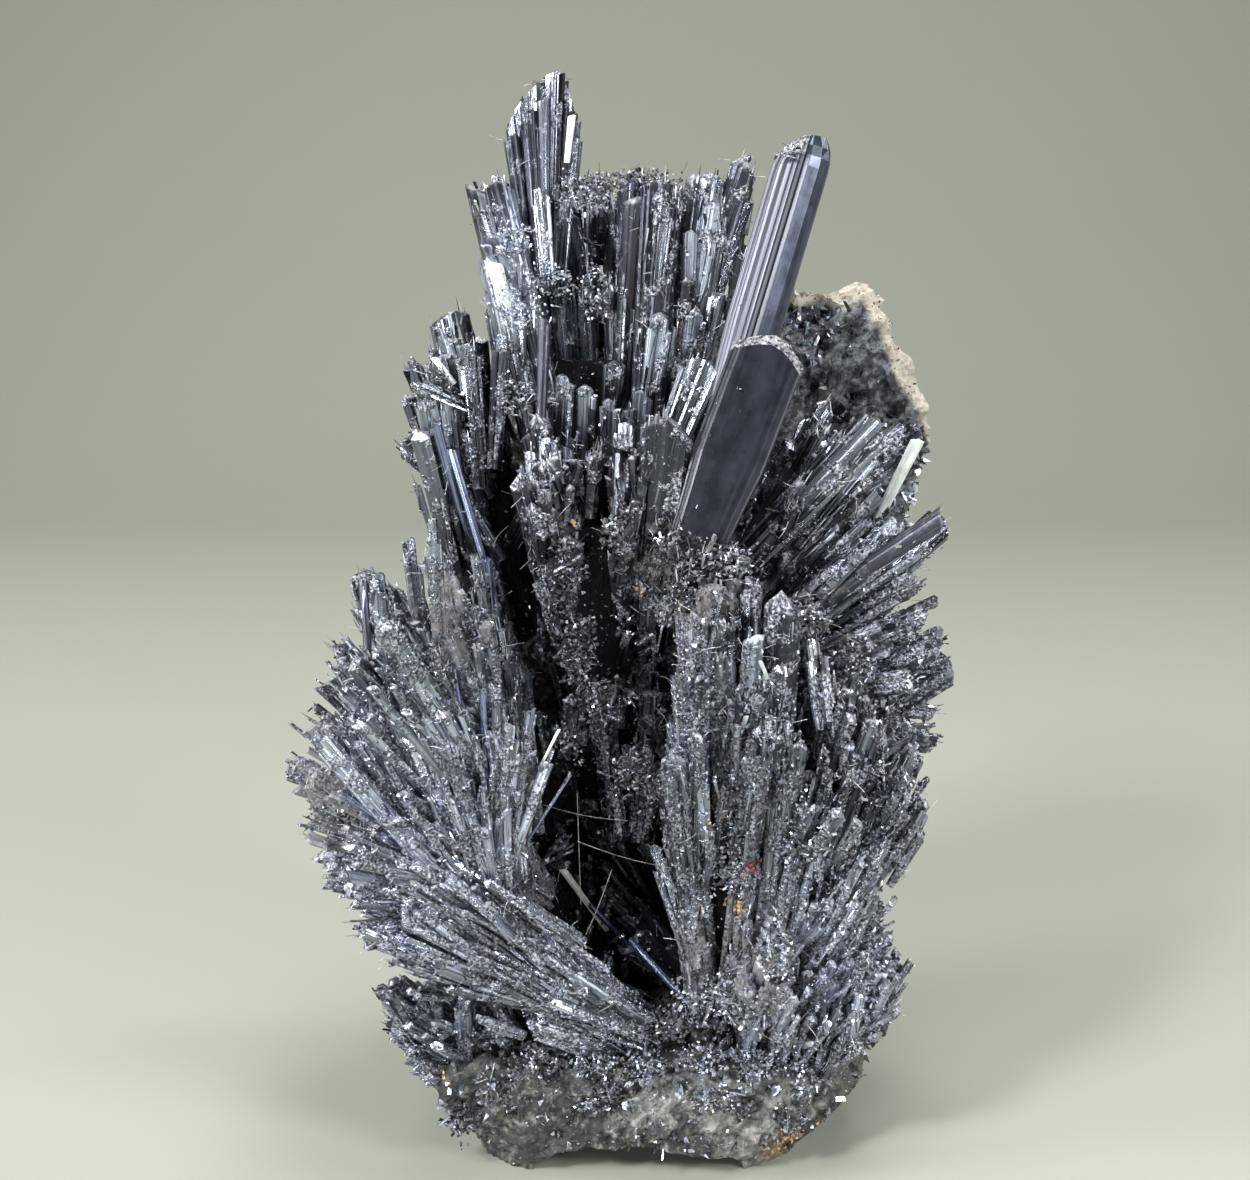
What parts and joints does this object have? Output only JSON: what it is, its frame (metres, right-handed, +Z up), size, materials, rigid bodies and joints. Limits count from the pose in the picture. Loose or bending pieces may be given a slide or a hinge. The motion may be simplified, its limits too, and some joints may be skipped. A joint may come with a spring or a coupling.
{
  "type": "stibnite crystal spray",
  "caption": "Stibnite crystal spray: fans and columns of long striated metallic prisms radiating from a rock matrix that stands on its flat cut underside.",
  "frame": {"origin": "on the flat cut underside of the matrix, in its middle", "axes": "+Z up along the specimen's height, -Y towards its front, +X to the viewer's right"},
  "size_m": [0.0531, 0.0394, 0.0852],
  "materials": {
    "matrix": "rough granular rock, pale in places",
    "stibnite": "metallic lead grey, striated, dusted brown-grey",
    "dark_stibnite": "metallic dark grey, smooth faces"
  },
  "bodies": {
    "root": {"matrix": "matrix", "left_fan": "stibnite", "left_columns": "stibnite", "centre_ridge": "stibnite", "hollow_prisms": "dark_stibnite", "right_columns": "stibnite", "right_fan": "stibnite", "crown": "stibnite", "crown_wedge": "stibnite", "striated_prism": "stibnite", "broad_blade": "dark_stibnite"}
  },
  "joints": []
}
